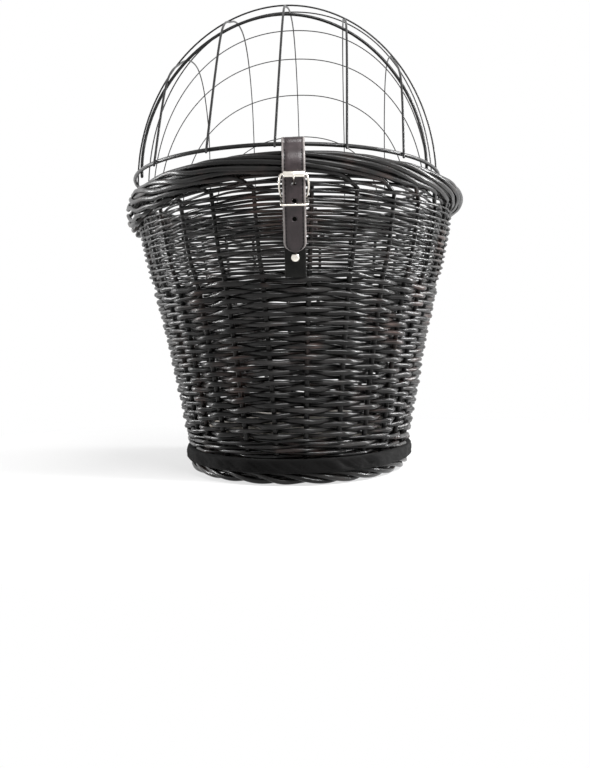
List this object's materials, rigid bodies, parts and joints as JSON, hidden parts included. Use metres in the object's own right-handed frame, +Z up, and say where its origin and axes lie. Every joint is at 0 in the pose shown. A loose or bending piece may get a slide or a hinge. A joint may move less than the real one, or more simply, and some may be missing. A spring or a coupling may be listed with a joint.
{
  "type": "bicycle basket",
  "caption": "Oval willow basket for a bicycle's rear rack, with a hinged wire dome lid, a leather strap with roller buckle, a floor cushion and screw clamps under its base.",
  "frame": {"origin": "middle of the basket at the underside of the foot border", "axes": "+Z up, +Y along the basket towards the lid's hinge and the saddle, -Y the end with strap and buckle, +X to the right seen from the buckle"},
  "size_m": [0.3488, 0.568, 0.4881],
  "materials": {
    "willow": "black-stained, satin",
    "band_fabric": "matt woven",
    "cushion_cloth": "soft plush",
    "plywood": "black-stained",
    "black_wire": "satin lacquer",
    "leather": "smooth, stitched",
    "nickel": "nickel plated",
    "zinc": "zinc plated"
  },
  "bodies": {
    "basket": {"woven_wall": "willow", "rim_border": "willow", "base_band": "band_fabric", "foot_border": "willow", "base_board": "plywood", "floor_cushion": "cushion_cloth", "floor_plate_front": "zinc", "floor_plate_rear": "zinc", "clamp_bar_front": "zinc", "clamp_bar_rear": "zinc", "clamp_bolt_front_left": "zinc", "clamp_bolt_front_right": "zinc", "clamp_bolt_rear_left": "zinc", "clamp_bolt_rear_right": "zinc", "anchor_strap": "leather", "strap_keeper": "nickel", "strap_rivet": "nickel", "rivet_washer": "zinc"},
    "lid": {"lid_ring": "black_wire", "lid_near_hoop": "black_wire", "lid_hoop_2": "black_wire", "lid_hoop_3": "black_wire", "lid_hoop_4": "black_wire", "lid_hoop_5": "black_wire", "lid_hoop_6": "black_wire", "lid_hoop_7": "black_wire", "lid_rib_1": "black_wire", "lid_rib_2": "black_wire", "lid_rib_3": "black_wire", "lid_rib_4": "black_wire", "lid_rib_5": "black_wire", "hinge_loop_left": "leather", "hinge_loop_right": "leather", "lid_strap": "leather"},
    "buckle": {"buckle_frame": "nickel"},
    "roller": {"buckle_roller": "nickel"},
    "prong": {"buckle_prong": "nickel"},
    "nut_front_left": {"wing_nut_front_left": "zinc"},
    "nut_front_right": {"wing_nut_front_right": "zinc"},
    "nut_rear_left": {"wing_nut_rear_left": "zinc"},
    "nut_rear_right": {"wing_nut_rear_right": "zinc"}
  },
  "joints": [
    {"name": "lid_hinge", "type": "hinge", "parent": "basket", "child": "lid", "pos_m": [0.00707, 0.26287, 0.2715], "axis": [-0.9993, 0.0366, 0], "range_deg": [0, 100], "deforming": ["lid_strap"]},
    {"name": "buckle_swing", "type": "hinge", "parent": "basket", "child": "buckle", "pos_m": [0, -0.26569, 0.2456], "axis": [1, 0, 0], "range_deg": [0, 60]},
    {"name": "roller_spin", "type": "hinge", "parent": "buckle", "child": "roller", "pos_m": [0, -0.27965, 0.2616], "axis": [1, 0, 0], "continuous": true},
    {"name": "prong_swing", "type": "hinge", "parent": "buckle", "child": "prong", "pos_m": [0, -0.26569, 0.2456], "axis": [1, 0, 0], "range_deg": [0, 30]},
    {"name": "wing_nut_front_left_spin", "type": "hinge", "parent": "basket", "child": "nut_front_left", "pos_m": [-0.045, 0.075, 0.006], "axis": [0, 0, 1], "continuous": true},
    {"name": "wing_nut_front_right_spin", "type": "hinge", "parent": "basket", "child": "nut_front_right", "pos_m": [0.045, 0.075, 0.006], "axis": [0, 0, 1], "continuous": true},
    {"name": "wing_nut_rear_left_spin", "type": "hinge", "parent": "basket", "child": "nut_rear_left", "pos_m": [-0.045, -0.075, 0.006], "axis": [0, 0, 1], "continuous": true},
    {"name": "wing_nut_rear_right_spin", "type": "hinge", "parent": "basket", "child": "nut_rear_right", "pos_m": [0.045, -0.075, 0.006], "axis": [0, 0, 1], "continuous": true}
  ]
}
